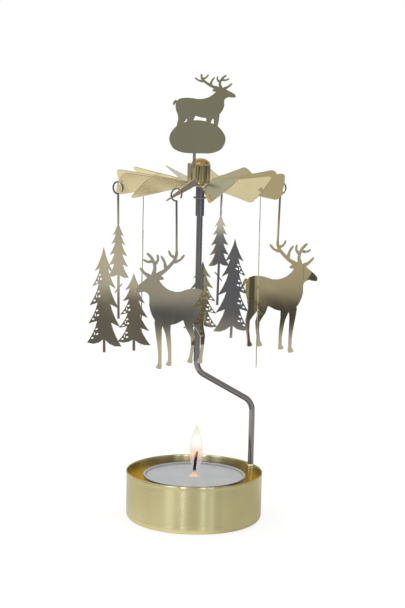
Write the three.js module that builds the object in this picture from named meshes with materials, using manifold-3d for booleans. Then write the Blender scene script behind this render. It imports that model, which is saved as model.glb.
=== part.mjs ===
// Candle carousel: a brass cup holds a tea light, a bent steel wire carries a needle,
// and a twelve-bladed brass fan turns on the needle with six pendants hung from its tips.
// Millimetres, +Z up. The origin is the middle of the cup's flat underside.
import * as THREE from 'three';
import { mergeVertices } from 'three/addons/utils/BufferGeometryUtils.js';
import Module from 'manifold-3d';

const wasm = await Module();
wasm.setup();

// Clearances
const seatGap = 0.3;
const fitGap = 0.13;
const hookRoom = 0.62;
const cutOverrun = 1.0;
const stemOverlap = 0.8;

// Tea light
const tealightRadius = 19.2;
const tealightHeight = 16.2;
const tealightWall = 0.25;
const tealightLip = 0.35;
const tealightLipDepth = 0.5;
const tealightFootRound = 1.2;
const waxDrop = 0.7;
const wickRadius = 0.62;
const wickExposed = 9.6;
const wickLean = 1.1;
const wickTipRadius = 0.42;
const sustainerRadius = 6.5;
const sustainerSheet = 0.3;
const sustainerNeckHeight = 3.4;
const sustainerNeckWall = 0.3;

// Cup
const cupWall = 0.4;
const cupMoat = 6.2;
const cupRimRise = 1.5;
const cupFootRound = 2.2;
const cupRimRoll = 0.16;
const cupRimRollDepth = 0.5;

// Wire stand
const wireRadius = 1.15;
const wireAzimuth = 31;
const wireRecess = 0.4;
const wireFootHeight = 0.6;
const wireUpright = 24.3;
const wireSlopeRise = 14.4;
const wireBendRadius = 6.5;

// Pivot
const needleRadius = 0.5;
const needleLength = 13;
const needlePoint = 2.4;
const needlePointRadius = 0.08;
const needleReach = 5.9;
const sleeveWall = 0.33;
const sleeveLength = 15;
const collarRadius = 2.5;
const collarThickness = 0.6;
const collarRise = 6.6;

// Fan
const sheet = 0.3;
const fanRadius = 31.5;
const bladeCount = 12;
const hookBladeStep = 2;
const bladeHalfAngle = 13.2;
const bladeTwist = 39;
const bladeTwistLength = 2.8;
const bladeCornerRound = 1.6;
const firstBladeAzimuth = 16.4;
const plateMargin = 0.55;

// Hub cap
const capRadius = 3.65;
const capWall = 0.3;
const capRise = 9.2;
const capDomeRise = 2.6;
const capFlangeWidth = 0.85;
const capFlangeThickness = 0.5;

// Topper and the tab that backs its stem
const topperWidth = 24.6;
const topperHeight = 29;
const topperStemLength = 11.2;
const topperStemWidth = 1.15;
const topperStemOffset = 2.4;
const tabWidth = 2.4;
const tabHeight = 7.6;
const tabAzimuth = 210;

// Hooks
const hookBand = 0.6;
const hookBridge = 0.5;
const hookSlack = 0.5;
const hookStemWidth = 0.75;
const hangAngle = 48;
const hookStartAngle = -98;
const hookEndAngle = 218;

// Pendants
const pendantFloorGap = 7.1;
const treesWidth = 30.2;
const treesHeight = 49.3;
const treesStemLength = 10;
const trunkWidth = 1.05;
const tallTrunkWidth = 0.95;
const twigWidth = 0.4;
const twigLength = 2.4;
const twigAngle = 42;
const laceLength = 1.45;
const laceWidth = 0.6;
const laceTilt = 36;
const laceOuterInset = 0.75;
const laceInnerInset = 1.85;
const reindeerWidth = 32.4;
const reindeerHeight = 42.3;
const pendantTurns = [46, 50, 45, 50, 42, 48];

// Smoothness
const roundSides = 56;
const tealightSides = 40;
const smallRoundSides = 28;
const wireSides = 14;
const holeSides = 12;
const bendSteps = 7;
const footSteps = 4;
const domeSteps = 5;
const twistSteps = 6;
const cornerSteps = 4;
const tipSteps = 3;
const ringSteps = 20;
const edgeSteps = 3;
const laceSides = 6;
const bodySteps = 44;
const limbSteps = 2;

// Outlines: shares of the width and height of the figure that they draw
const tierDropShares = [0.25, 0.41, 0.61, 0.8, 1];
const tierWidthShares = [0.52, 0.67, 0.84, 0.92, 1];
const tierNotchShare = 0.44;
const tierNotchRiseShare = 0.035;
const tierSagShare = 0.45;
const tierBowShare = 0.2;
const skirtLiftShare = 0.06;
const firShares = {
  tall: { middle: 0, apex: 1, skirt: 0.587, halfWidth: 0.152, trunkFoot: 0.27 },
  wide: { middle: 0.222, apex: 0.8, skirt: 0.06, halfWidth: 0.262, trunkFoot: 0 },
  low: { middle: -0.232, apex: 0.622, skirt: 0.095, halfWidth: 0.245, trunkFoot: 0.04 },
};
const twigHeightShare = 0.5;
const laceOuterShares = [0.3, 0.5, 0.7];
const laceInnerShares = [0.44];
const stemPlaceShare = 0.44;
const bodyShares = [
  [0.05, 0.49], [0.052, 0.575], [0.1, 0.632], [0.26, 0.652], [0.42, 0.634], [0.56, 0.668], [0.645, 0.725],
  [0.7, 0.785], [0.765, 0.806], [0.86, 0.766], [0.968, 0.708], [0.972, 0.668], [0.865, 0.668], [0.805, 0.632],
  [0.8, 0.53], [0.745, 0.43], [0.665, 0.37], [0.48, 0.36], [0.32, 0.392], [0.2, 0.372], [0.09, 0.4],
];
const limbShares = [
  [[0.672, 0.45, 0.1], [0.683, 0.32, 0.082], [0.672, 0.2, 0.055], [0.668, 0.045, 0.042], [0.685, 0.0, 0.072]],
  [[0.59, 0.42, 0.11], [0.56, 0.29, 0.066], [0.545, 0.2, 0.054], [0.538, 0.058, 0.04], [0.555, 0.014, 0.07]],
  [[0.17, 0.46, 0.19], [0.15, 0.33, 0.12], [0.095, 0.23, 0.06], [0.122, 0.045, 0.042], [0.14, 0.0, 0.072]],
  [[0.28, 0.44, 0.15], [0.28, 0.33, 0.1], [0.225, 0.225, 0.056], [0.255, 0.058, 0.04], [0.272, 0.014, 0.07]],
];
const antlerShares = [
  [[0.73, 0.785, 0.05], [0.61, 0.822, 0.044], [0.5, 0.885, 0.04], [0.445, 0.94, 0.034], [0.44, 1.0, 0.022]],
  [[0.585, 0.835, 0.036], [0.6, 0.9, 0.03], [0.645, 0.955, 0.018]],
  [[0.49, 0.893, 0.034], [0.4, 0.905, 0.028], [0.34, 0.945, 0.018]],
  [[0.45, 0.93, 0.03], [0.515, 0.952, 0.026], [0.545, 0.995, 0.018]],
  [[0.755, 0.79, 0.046], [0.725, 0.86, 0.04], [0.76, 0.94, 0.034], [0.825, 0.99, 0.02]],
  [[0.735, 0.885, 0.034], [0.685, 0.925, 0.026], [0.69, 0.97, 0.018]],
  [[0.75, 0.92, 0.03], [0.82, 0.918, 0.026], [0.87, 0.94, 0.018]],
  [[0.775, 0.785, 0.042], [0.855, 0.822, 0.034], [0.915, 0.872, 0.018]],
  [[0.705, 0.765, 0.034], [0.655, 0.772, 0.05], [0.615, 0.76, 0.016]],
  [[0.065, 0.6, 0.05], [0.028, 0.575, 0.04], [0.018, 0.54, 0.018]],
];
const moundShares = [
  [0, 0.2], [0.05, 0.07], [0.18, 0.012], [0.42, 0], [0.66, 0.012], [0.79, 0.07], [0.84, 0.2],
  [0.74, 0.335], [0.58, 0.4], [0.4, 0.42], [0.24, 0.395], [0.09, 0.33],
];
const topperReindeerWidthShare = 0.96;
const topperReindeerFootShare = 0.14;
const topperStemPlaceShare = 0.38;

// Sizes worked out from the ones above
const radians = THREE.MathUtils.degToRad;
const tealightFoot = cupWall + seatGap;
const cupRadius = tealightRadius + tealightLip + cupMoat;
const cupHeight = tealightFoot + tealightHeight + cupRimRise;
const wireReach = cupRadius - wireRecess;
const slopeFoot = cupHeight + wireUpright;
const slopeTop = slopeFoot + wireSlopeRise;
const hookHoleRadius = hookBand / 2 + hookRoom;
const hookInner = hookHoleRadius + hookBridge + hookSlack;
const hookOuter = hookInner + hookBand;
const hangReach = (hookInner + hookOuter) / 2;
const hangShift = hangReach * Math.cos(radians(hangAngle));
const hangDrop = hangReach * Math.sin(radians(hangAngle));
const pendantDrop = hookOuter + treesStemLength + treesHeight;
const fanHeight = slopeTop + pendantFloorGap + pendantDrop + hangDrop;
const fanTop = fanHeight + sheet / 2;
const fanUnder = fanHeight - sheet / 2;
const hookHoleReach = fanRadius - hookBridge - hookHoleRadius;
const stemPlane = capRadius + seatGap + sheet / 2;
const stemCorner = new THREE.Vector2(topperStemOffset + topperStemWidth / 2, stemPlane + sheet / 2);
const plateRadius = stemCorner.addScalar(fitGap).length() + plateMargin;
const capTop = fanTop + capRise;
const needleTip = capTop - capWall - seatGap;
const needleFoot = needleTip - needleLength;
const sleeveTop = needleTip - needleReach;
const sleeveFoot = sleeveTop - sleeveLength;
const wireTop = needleFoot - seatGap;
const sleeveBore = wireRadius + fitGap;
const sleeveRadius = sleeveBore + sleeveWall;

// Solids and meshes
function solidOf(geometry) {
  const bare = geometry.clone();
  bare.deleteAttribute('normal');
  bare.deleteAttribute('uv');
  const merged = mergeVertices(bare);
  const vertProperties = Float32Array.from(merged.attributes.position.array);
  const triVerts = Uint32Array.from(merged.index.array);
  return new wasm.Manifold(new wasm.Mesh({ numProp: 3, vertProperties, triVerts }));
}

function geometryOf(solid) {
  const mesh = solid.getMesh();
  const geometry = new THREE.BufferGeometry();
  geometry.setAttribute('position', new THREE.BufferAttribute(mesh.vertProperties, 3));
  geometry.setIndex(new THREE.BufferAttribute(mesh.triVerts, 1));
  geometry.computeVertexNormals();
  return geometry;
}

function joined(geometries) {
  return geometries.map(solidOf).reduce((whole, solid) => whole.add(solid));
}

// A turned piece: profile points are [radius, height], and the axis is Z.
function turned(profile, sides) {
  const points = profile.map(([radius, height]) => new THREE.Vector2(radius, height));
  return new THREE.LatheGeometry(points, sides).rotateX(Math.PI / 2);
}

function uprightCylinder(radius, height, foot, sides) {
  return new THREE.CylinderGeometry(radius, radius, height, sides).rotateX(Math.PI / 2)
    .translate(0, 0, foot + height / 2);
}

// Points of an arc for a profile, angles in degrees.
function arcPoints(centreX, centreY, radius, fromAngle, toAngle, steps, radiusY = radius) {
  return Array.from({ length: steps + 1 }, (_, step) => {
    const angle = radians(THREE.MathUtils.lerp(fromAngle, toAngle, step / steps));
    return [centreX + radius * Math.cos(angle), centreY + radiusY * Math.sin(angle)];
  });
}

// A flat plate with its shapes drawn in X and Y, its thickness centred on Z.
function plate(shape) {
  return new THREE.ExtrudeGeometry(shape, { depth: sheet, bevelEnabled: false, curveSegments: ringSteps })
    .translate(0, 0, -sheet / 2);
}

function shapeThrough(points) {
  return new THREE.Shape(points.map(([x, y]) => new THREE.Vector2(x, y)));
}

function closedCurve(points, steps) {
  const curve = new THREE.CatmullRomCurve3(points.map(([x, y]) => new THREE.Vector3(x, y, 0)), true);
  return shapeThrough(curve.getPoints(steps).slice(0, -1).map(point => point.toArray()));
}

// A limb or antler tine: rows of [x, y, width] with smooth sides and a round tip.
function limb(rows) {
  const centres = rows.map(([x, y]) => new THREE.Vector2(x, y));
  const sideways = centres.map((_, index) => {
    const before = centres[Math.max(index - 1, 0)];
    const after = centres[Math.min(index + 1, rows.length - 1)];
    const along = after.clone().sub(before).normalize();
    return new THREE.Vector2(-along.y, along.x).multiplyScalar(rows[index][2] / 2);
  });
  const left = centres.map((centre, index) => centre.clone().add(sideways[index]));
  const right = centres.map((centre, index) => centre.clone().sub(sideways[index]));
  const outline = [...right, ...left.reverse()].map(point => point.toArray());
  return closedCurve(outline, outline.length * limbSteps);
}

// A bent rod's path: it steps from one given point to the next, so that only its bends are finely cut.
class BentRodPath extends THREE.Curve {
  constructor(points, tangents) {
    super();
    this.points = points;
    this.tangents = tangents;
  }

  getPointAt(share) {
    return this.points[Math.round(share * (this.points.length - 1))].clone();
  }

  getTangentAt(share) {
    return this.tangents[Math.round(share * (this.points.length - 1))].clone();
  }
}

// Rounds the corners of a polyline with arcs of the bend radius.
function bentRod(corners, bendRadius, radius) {
  const points = [corners[0]];
  const tangents = [corners[1].clone().sub(corners[0]).normalize()];
  for (let index = 1; index < corners.length - 1; index += 1) {
    const arriving = corners[index].clone().sub(corners[index - 1]).normalize();
    const leaving = corners[index + 1].clone().sub(corners[index]).normalize();
    const turn = arriving.angleTo(leaving);
    const inward = leaving.clone().sub(arriving).normalize();
    const centre = corners[index].clone().addScaledVector(inward, bendRadius / Math.cos(turn / 2));
    const axis = arriving.clone().cross(leaving).normalize();
    const start = corners[index].clone().addScaledVector(arriving, -bendRadius * Math.tan(turn / 2));
    for (let step = 0; step <= bendSteps; step += 1) {
      const angle = turn * step / bendSteps;
      points.push(start.clone().sub(centre).applyAxisAngle(axis, angle).add(centre));
      tangents.push(arriving.clone().applyAxisAngle(axis, angle));
    }
  }
  points.push(corners.at(-1));
  tangents.push(corners.at(-1).clone().sub(corners.at(-2)).normalize());
  const section = shapeThrough(arcPoints(0, 0, radius, 0, 360, wireSides).slice(0, -1));
  const path = new BentRodPath(points, tangents);
  const steps = points.length - 1;
  return new THREE.ExtrudeGeometry(section, { steps, bevelEnabled: false, extrudePath: path });
}

// Finishes
const brass = { color: 0xc9b67c, roughness: 0.22, metalness: 1 };
const cupBrass = { color: 0xcdb878, roughness: 0.3, metalness: 1 };
const steel = { color: 0x7d7a78, roughness: 0.35, metalness: 1 };
const aluminium = { color: 0xc4c6cc, roughness: 0.35, metalness: 1 };
const wax = { color: 0xe9e8e4, roughness: 0.5, metalness: 0 };
const cotton = { color: 0x2a2422, roughness: 0.9, metalness: 0 };

const carousel = new THREE.Group();

function place(name, geometry, finish, parent = carousel) {
  const mesh = new THREE.Mesh(geometry, new THREE.MeshStandardMaterial(finish));
  mesh.name = name;
  parent.add(mesh);
  return mesh;
}

// Cup: a drawn shell with a rounded foot and an inward channel that takes the wire
function cupSolid() {
  const outside = [
    [0, 0],
    ...arcPoints(cupRadius - cupFootRound, cupFootRound, cupFootRound, -90, 0, footSteps),
    [cupRadius, cupHeight - cupRimRollDepth * 2],
    [cupRadius + cupRimRoll, cupHeight - cupRimRollDepth],
    [cupRadius, cupHeight],
    [0, cupHeight],
  ];
  const innerRound = cupFootRound - cupWall;
  const inside = [
    [0, cupWall],
    ...arcPoints(cupRadius - cupFootRound, cupFootRound, innerRound, -90, 0, footSteps),
    [cupRadius - cupWall, cupHeight + cutOverrun],
    [0, cupHeight + cutOverrun],
  ];
  const channelRadius = wireRadius + seatGap;
  const shell = solidOf(turned(outside, roundSides)).subtract(channel(channelRadius));
  return shell.subtract(solidOf(turned(inside, roundSides)).subtract(channel(channelRadius + cupWall)));
}

function channel(radius) {
  const tall = cupHeight + cutOverrun * 4;
  const reach = wireRecess + cutOverrun + radius;
  const round = uprightCylinder(radius, tall, -cutOverrun, holeSides).translate(wireReach, 0, 0);
  const mouth = new THREE.BoxGeometry(reach, radius * 2, tall)
    .translate(wireReach + reach / 2, 0, tall / 2 - cutOverrun);
  return joined([round, mouth]).rotate([0, 0, wireAzimuth]);
}

place('holder_cup', geometryOf(cupSolid()), cupBrass);

// Wire stand: up the cup's side, in over the flame, then up the axis
const wireX = wireReach * Math.cos(radians(wireAzimuth));
const wireY = wireReach * Math.sin(radians(wireAzimuth));
const wireCorners = [
  new THREE.Vector3(wireX, wireY, wireFootHeight),
  new THREE.Vector3(wireX, wireY, slopeFoot),
  new THREE.Vector3(0, 0, slopeTop),
  new THREE.Vector3(0, 0, wireTop),
];
place('wire_stand', bentRod(wireCorners, wireBendRadius, wireRadius), steel);

// Sleeve on the wire's end, with a narrower bore above that grips the needle
place('pivot_sleeve', turned([
  [sleeveBore, sleeveFoot],
  [sleeveRadius, sleeveFoot],
  [sleeveRadius, sleeveTop - sleeveWall],
  [sleeveRadius - sleeveWall, sleeveTop],
  [needleRadius + fitGap, sleeveTop],
  [needleRadius + fitGap, needleFoot],
  [sleeveBore, needleFoot],
  [sleeveBore, sleeveFoot],
], smallRoundSides), steel);

place('stop_collar', turned([
  [sleeveRadius + fitGap, sleeveFoot + collarRise],
  [collarRadius, sleeveFoot + collarRise],
  [collarRadius, sleeveFoot + collarRise + collarThickness],
  [sleeveRadius + fitGap, sleeveFoot + collarRise + collarThickness],
  [sleeveRadius + fitGap, sleeveFoot + collarRise],
], smallRoundSides), steel);

place('pivot_needle', turned([
  [0, needleFoot],
  [needleRadius, needleFoot],
  [needleRadius, needleTip - needlePoint],
  [needlePointRadius, needleTip],
  [0, needleTip],
], holeSides), steel);

// Hub cap: a thimble pushed up through the fan, with a flange that carries the fan's plate
const flangeTop = fanUnder - seatGap;
const capShoulder = capTop - capDomeRise;
const capInner = capRadius - capWall;
place('hub_cap', turned([
  ...arcPoints(0, capShoulder, capInner, 90, 0, domeSteps, capDomeRise - capWall),
  [capInner, flangeTop - capFlangeThickness],
  [capRadius + capFlangeWidth, flangeTop - capFlangeThickness],
  [capRadius + capFlangeWidth, flangeTop],
  [capRadius, flangeTop],
  ...arcPoints(0, capShoulder, capRadius, 0, 90, domeSteps, capDomeRise),
], smallRoundSides), brass);

// Fan: a round plate with twelve twisted blades, a hole near every second tip and a bent-up tab
function bladeStations() {
  const halfAngle = radians(bladeHalfAngle);
  const stations = [[plateRadius - plateMargin, 0]];
  for (let step = 0; step <= twistSteps; step += 1) {
    stations.push([plateRadius + bladeTwistLength * step / twistSteps, step / twistSteps]);
  }
  const rows = stations.map(([reach, share]) => ({
    reach,
    half: reach * Math.tan(halfAngle),
    twist: THREE.MathUtils.smoothstep(share, 0, 1),
  }));
  const centreReach = fanRadius - bladeCornerRound;
  const centreAngle = halfAngle - Math.asin(bladeCornerRound / centreReach);
  const corner = arcPoints(centreReach * Math.cos(centreAngle), centreReach * Math.sin(centreAngle),
    bladeCornerRound, bladeHalfAngle + 90, THREE.MathUtils.radToDeg(centreAngle), cornerSteps);
  for (const [reach, half] of corner) {
    rows.push({ reach, half, twist: 1 });
  }
  for (let step = 1; step < tipSteps; step += 1) {
    const angle = centreAngle * (1 - step / tipSteps);
    rows.push({ reach: fanRadius * Math.cos(angle), half: fanRadius * Math.sin(angle), twist: 1 });
  }
  return rows;
}

function bladeGeometry() {
  const stations = bladeStations();
  const blade = new THREE.BoxGeometry(1, 1, 1, stations.length - 1, 1, 1);
  const corners = blade.attributes.position;
  for (let index = 0; index < corners.count; index += 1) {
    const row = stations[Math.round((corners.getX(index) + 0.5) * (stations.length - 1))];
    const across = Math.sign(corners.getY(index)) * row.half;
    const through = Math.sign(corners.getZ(index)) * sheet / 2;
    const turn = radians(bladeTwist) * row.twist;
    corners.setXYZ(index, row.reach,
      across * Math.cos(turn) - through * Math.sin(turn),
      across * Math.sin(turn) + through * Math.cos(turn));
  }
  return blade;
}

function fanSolid() {
  const blade = solidOf(bladeGeometry());
  const hookHole = solidOf(uprightCylinder(hookHoleRadius, cutOverrun * 2, -cutOverrun, holeSides))
    .rotate([bladeTwist, 0, 0]).translate([hookHoleReach, 0, 0]);
  const hookBlade = blade.subtract(hookHole);
  let fan = solidOf(uprightCylinder(plateRadius, sheet, -sheet / 2, roundSides));
  for (let index = 0; index < bladeCount; index += 1) {
    const next = index % hookBladeStep === 0 ? hookBlade : blade;
    fan = fan.add(next.rotate([0, 0, firstBladeAzimuth + index * 360 / bladeCount]));
  }
  const tab = new THREE.BoxGeometry(sheet, tabWidth, tabHeight + sheet)
    .translate((capRadius + plateRadius) / 2, 0, (tabHeight + sheet) / 2 - sheet / 2)
    .rotateZ(radians(tabAzimuth));
  const capHole = uprightCylinder(capRadius + fitGap, cutOverrun * 2, -cutOverrun, smallRoundSides);
  const slot = new THREE.BoxGeometry(topperStemWidth + fitGap * 2, sheet + fitGap * 2, cutOverrun * 2)
    .translate(-topperStemOffset, -stemPlane, 0);
  const cuts = joined([capHole, slot]);
  return fan.add(solidOf(tab)).subtract(cuts).translate([0, 0, fanHeight]);
}

place('fan_disc', geometryOf(fanSolid()), brass);

// A natural reindeer in profile that faces +X, with its hooves at height 0
function reindeerShapes(width, height) {
  const sized = rows => rows.map(([x, y, thick]) => [x * width, y * height, thick * width]);
  return [
    closedCurve(sized(bodyShares), bodySteps),
    ...limbShares.map(rows => limb(sized(rows))),
    ...antlerShares.map(rows => limb(sized(rows))),
  ];
}

// Topper: a reindeer on a rounded mound, whose stem drops through a slot in the fan's plate
function topperGeometry() {
  const mound = closedCurve(moundShares.map(([x, y]) => [x * topperWidth, y * topperHeight]), bodySteps);
  const foot = topperHeight * topperReindeerFootShare;
  const wide = topperWidth * topperReindeerWidthShare;
  const reindeer = reindeerShapes(wide, topperHeight - foot)
    .map(shape => plate(shape).translate(topperWidth - wide, foot, 0));
  const stemLength = topperStemLength + sheet + stemOverlap;
  const stem = new THREE.BoxGeometry(topperStemWidth, stemLength, sheet)
    .translate(topperWidth * topperStemPlaceShare, stemOverlap - stemLength / 2, 0);
  return geometryOf(joined([plate(mound), ...reindeer, stem])).rotateX(Math.PI / 2)
    .translate(-topperStemOffset - topperWidth * topperStemPlaceShare, -stemPlane, fanTop + topperStemLength);
}

place('topper', topperGeometry(), brass);

// Firs: five tiers of branches whose tips droop, with a lace of small ovals along one side
function branchEdges(fir) {
  const halfWidth = fir.halfWidth * treesWidth;
  const apex = fir.apex * treesHeight;
  const tall = apex - fir.skirt * treesHeight;
  let start = new THREE.Vector2(0, apex);
  return tierDropShares.map((dropShare, index) => {
    const tip = new THREE.Vector2(halfWidth * tierWidthShares[index], apex - tall * dropShare);
    const sag = new THREE.Vector2(
      THREE.MathUtils.lerp(start.x, tip.x, tierBowShare),
      THREE.MathUtils.lerp(start.y, tip.y, tierSagShare));
    const edge = new THREE.QuadraticBezierCurve(start, sag, tip);
    start = new THREE.Vector2(tip.x * tierNotchShare, tip.y + tall * tierNotchRiseShare);
    return edge;
  });
}

function firShape(fir) {
  const edges = branchEdges(fir);
  const corner = edges.at(-1).v2;
  const lift = (fir.apex - fir.skirt) * treesHeight * skirtLiftShare;
  edges.push(new THREE.QuadraticBezierCurve(
    corner,
    new THREE.Vector2(corner.x * tierNotchShare, corner.y - lift / 2),
    new THREE.Vector2(0, corner.y + lift)));
  const half = edges.flatMap(edge => edge.getPoints(edgeSteps));
  const mirrored = half.slice(1, -1).reverse().map(point => new THREE.Vector2(-point.x, point.y));
  const middle = new THREE.Vector2(fir.middle * treesWidth, 0);
  return new THREE.Shape([...half, ...mirrored].map(point => point.clone().add(middle)));
}

function trunk(fir, width) {
  const foot = fir.trunkFoot * treesHeight;
  const top = (fir.skirt + fir.apex) / 2 * treesHeight;
  return new THREE.BoxGeometry(width, top - foot, sheet)
    .translate(fir.middle * treesWidth, (top + foot) / 2, 0);
}

function laceCuts(fir, firstTier) {
  const oval = shapeThrough(arcPoints(0, 0, laceLength / 2, 0, 360, laceSides, laceWidth / 2).slice(0, -1));
  const middle = fir.middle * treesWidth;
  const cuts = [];
  for (const edge of branchEdges(fir).slice(firstTier)) {
    for (const [inset, shares] of [[laceOuterInset, laceOuterShares], [laceInnerInset, laceInnerShares]]) {
      shares.forEach((share, index) => {
        const along = edge.getTangentAt(share);
        const inward = new THREE.Vector2(along.y, -along.x);
        const spot = edge.getPointAt(share).addScaledVector(inward, inset);
        const tilt = radians(index % 2 === 0 ? laceTilt : -laceTilt);
        cuts.push(new THREE.ExtrudeGeometry(oval, { depth: cutOverrun * 2, bevelEnabled: false })
          .rotateZ(along.angle() + tilt).translate(middle + spot.x, spot.y, -cutOverrun));
      });
    }
  }
  return cuts;
}

function treesSolid() {
  const { tall, wide, low } = firShares;
  const twig = new THREE.BoxGeometry(twigWidth, twigLength * 2, sheet)
    .rotateZ(radians(twigAngle)).translate(0, twigHeightShare * treesHeight, 0);
  const whole = joined([
    ...[tall, wide, low].map(fir => plate(firShape(fir))),
    trunk(tall, tallTrunkWidth),
    trunk(wide, trunkWidth),
    trunk(low, trunkWidth),
    twig,
  ]);
  const cuts = [...laceCuts(wide, 1), ...laceCuts(low, 2)];
  return cuts.reduce((uncut, cut) => uncut.subtract(solidOf(cut)), whole);
}

// Hook: an open ring round the origin whose stem drops to the figure
function hookPlates(stemLength) {
  const shape = new THREE.Shape();
  shape.absarc(0, 0, hookOuter, radians(hookStartAngle), radians(hookEndAngle), false);
  shape.absarc(0, 0, hookInner, radians(hookEndAngle), radians(hookStartAngle), true);
  const stemHeight = hookBand / 2 + stemLength + stemOverlap;
  const stem = new THREE.BoxGeometry(hookStemWidth, stemHeight, sheet)
    .translate(0, -hangReach - stemHeight / 2, 0);
  return [plate(shape), stem];
}

// A pendant hangs with its middle of mass straight under the middle of its ring.
function hung(solid) {
  const mesh = solid.getMesh();
  const corner = index => new THREE.Vector3().fromArray(mesh.vertProperties, mesh.triVerts[index] * 3);
  const moment = new THREE.Vector3();
  for (let index = 0; index < mesh.triVerts.length; index += 3) {
    const [a, b, c] = [corner(index), corner(index + 1), corner(index + 2)];
    const volume = a.dot(b.clone().cross(c));
    moment.addScaledVector(a.add(b).add(c), volume);
  }
  const tilt = Math.atan2(moment.x, -moment.y);
  return geometryOf(solid).rotateZ(-tilt).rotateX(Math.PI / 2);
}

function treesPendant() {
  const figure = treesSolid().translate([0, -pendantDrop, 0]);
  return hung(figure.add(joined(hookPlates(treesStemLength))));
}

function reindeerPendant() {
  const stemLength = pendantDrop - hookOuter - reindeerHeight;
  const figure = joined(reindeerShapes(reindeerWidth, reindeerHeight).map(plate))
    .translate([-stemPlaceShare * reindeerWidth, -pendantDrop, 0]);
  return hung(figure.add(joined(hookPlates(stemLength))));
}

// Each ring passes through the middle of its blade's hole and leans out round the tip.
function hangPlace(azimuth, turn) {
  const facing = radians(azimuth - turn);
  return new THREE.Vector3(
    hookHoleReach * Math.cos(radians(azimuth)) + hangShift * Math.cos(facing),
    hookHoleReach * Math.sin(radians(azimuth)) + hangShift * Math.sin(facing),
    fanHeight - hangDrop);
}

const pendantKinds = [
  { name: 'pendant_reindeer', geometry: reindeerPendant() },
  { name: 'pendant_trees', geometry: treesPendant() },
];
pendantTurns.forEach((turn, index) => {
  const kind = pendantKinds[index % pendantKinds.length];
  const azimuth = firstBladeAzimuth + index * hookBladeStep * 360 / bladeCount;
  const number = Math.floor(index / pendantKinds.length) + 1;
  const pendant = place(`${kind.name}_${number}`, kind.geometry.clone(), brass);
  pendant.position.copy(hangPlace(azimuth, turn));
  pendant.rotation.z = radians(azimuth - turn);
});

// Tea light: a drawn aluminium cup, its wax, the wick and the tin foot that holds the wick
const tealight = new THREE.Group();
tealight.position.z = tealightFoot;
carousel.add(tealight);

const tealightInner = tealightRadius - tealightWall;
place('tealight_cup', turned([
  [0, 0],
  ...arcPoints(tealightRadius - tealightFootRound, tealightFootRound, tealightFootRound, -90, 0, footSteps),
  [tealightRadius, tealightHeight - tealightLipDepth],
  [tealightRadius + tealightLip, tealightHeight - tealightLipDepth / 2],
  [tealightRadius, tealightHeight],
  [tealightInner, tealightHeight],
  ...arcPoints(tealightRadius - tealightFootRound, tealightFootRound, tealightFootRound - tealightWall,
    0, -90, footSteps),
  [0, tealightWall],
], tealightSides), aluminium, tealight);

const sustainerFoot = tealightWall + seatGap;
const wickHold = wickRadius + fitGap;
const neckRadius = wickHold + sustainerNeckWall;
const waxRadius = tealightInner - seatGap;
const waxTop = tealightHeight - waxDrop;
const waxFoot = sustainerFoot;
const neckTop = sustainerFoot + sustainerNeckHeight;
place('tealight_wax', turned([
  [sustainerRadius + seatGap, waxFoot],
  [waxRadius - tealightFootRound, waxFoot],
  [waxRadius, waxFoot + tealightFootRound],
  [waxRadius, waxTop],
  [wickHold, waxTop],
  [wickHold, neckTop + seatGap],
  [neckRadius + seatGap, neckTop + seatGap],
  [neckRadius + seatGap, sustainerFoot + sustainerSheet + seatGap],
  [sustainerRadius + seatGap, sustainerFoot + sustainerSheet + seatGap],
  [sustainerRadius + seatGap, waxFoot],
], tealightSides), wax, tealight);

place('wick_sustainer', turned([
  [wickHold, sustainerFoot],
  [sustainerRadius, sustainerFoot],
  [sustainerRadius, sustainerFoot + sustainerSheet],
  [neckRadius, sustainerFoot + sustainerSheet],
  [neckRadius, neckTop],
  [wickHold, neckTop],
  [wickHold, sustainerFoot],
], smallRoundSides), aluminium, tealight);

// The wick stands straight in the wax and leans over where it has burnt
function wickGeometry() {
  const rows = [
    { centre: new THREE.Vector3(0, 0, sustainerFoot), radius: wickRadius },
    { centre: new THREE.Vector3(0, 0, waxTop), radius: wickRadius },
    { centre: new THREE.Vector3(wickLean / 4, 0, waxTop + wickExposed / 2), radius: wickRadius },
    { centre: new THREE.Vector3(wickLean, 0, waxTop + wickExposed), radius: wickTipRadius },
  ];
  const wick = new THREE.CylinderGeometry(1, 1, 1, holeSides, rows.length - 1).rotateX(Math.PI / 2);
  const corners = wick.attributes.position;
  for (let index = 0; index < corners.count; index += 1) {
    const row = rows[Math.round((corners.getZ(index) + 0.5) * (rows.length - 1))];
    corners.setXYZ(index, row.centre.x + corners.getX(index) * row.radius,
      row.centre.y + corners.getY(index) * row.radius, row.centre.z);
  }
  return wick;
}

place('tealight_wick', wickGeometry(), cotton, tealight);

export default carousel;
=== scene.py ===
# Candle carousel: a brass tea light holder with a bladed fan that turns over the flame
from math import asin, atan2, cos, log, pi, radians, sin, sqrt, tan, tau

import bmesh
import bpy
from mathutils import Matrix, Vector
from mathutils.geometry import delaunay_2d_cdt


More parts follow.
